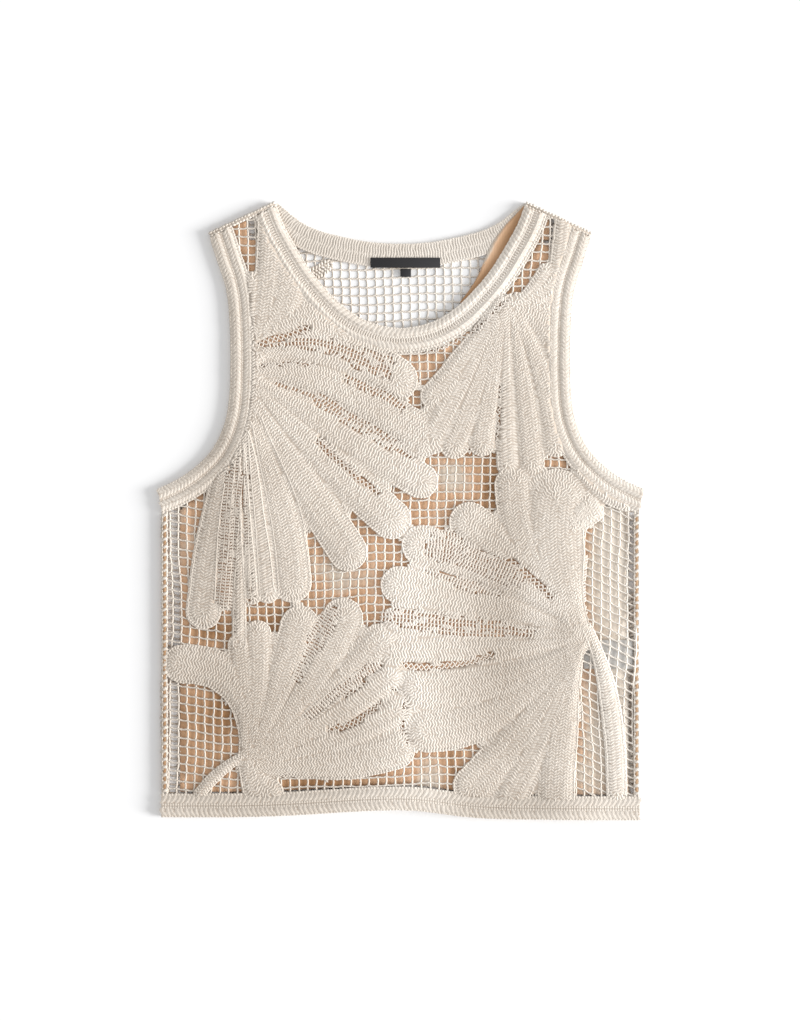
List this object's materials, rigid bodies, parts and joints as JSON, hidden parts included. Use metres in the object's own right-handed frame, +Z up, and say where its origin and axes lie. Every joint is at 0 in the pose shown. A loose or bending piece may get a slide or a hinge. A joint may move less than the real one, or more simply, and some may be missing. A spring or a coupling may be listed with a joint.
{
  "type": "crochet top",
  "caption": "Sleeveless cropped crochet top laid flat, with leaf fans in open net, ribbed bands and a plain tan front lining.",
  "frame": {"origin": "middle of the flat garment's underside, on the surface that it lies on", "axes": "+X across the garment along the hem, +Y from the hem to the neck, +Z up out of the front"},
  "size_m": [0.452, 0.5746, 0.0096],
  "materials": {
    "cream_yarn": "matte cotton crochet",
    "tan_jersey": "matte smooth jersey",
    "dark_label": "woven satin",
    "pale_label": "printed satin, left bare"
  },
  "bodies": {
    "root": {"back_panel": "cream_yarn", "front_panel": "cream_yarn", "lining_front": "tan_jersey", "neckband_front": "cream_yarn", "neckband_back": "cream_yarn", "hem_band_front": "cream_yarn", "hem_band_back": "cream_yarn", "armhole_band_front_left": "cream_yarn", "armhole_band_front_right": "cream_yarn", "armhole_band_back_left": "cream_yarn", "armhole_band_back_right": "cream_yarn", "shoulder_seam_left": "cream_yarn", "shoulder_seam_right": "cream_yarn", "side_seam_left": "cream_yarn", "side_seam_right": "cream_yarn", "neck_label": "dark_label", "size_tab": "dark_label", "care_label": "pale_label"}
  },
  "joints": []
}
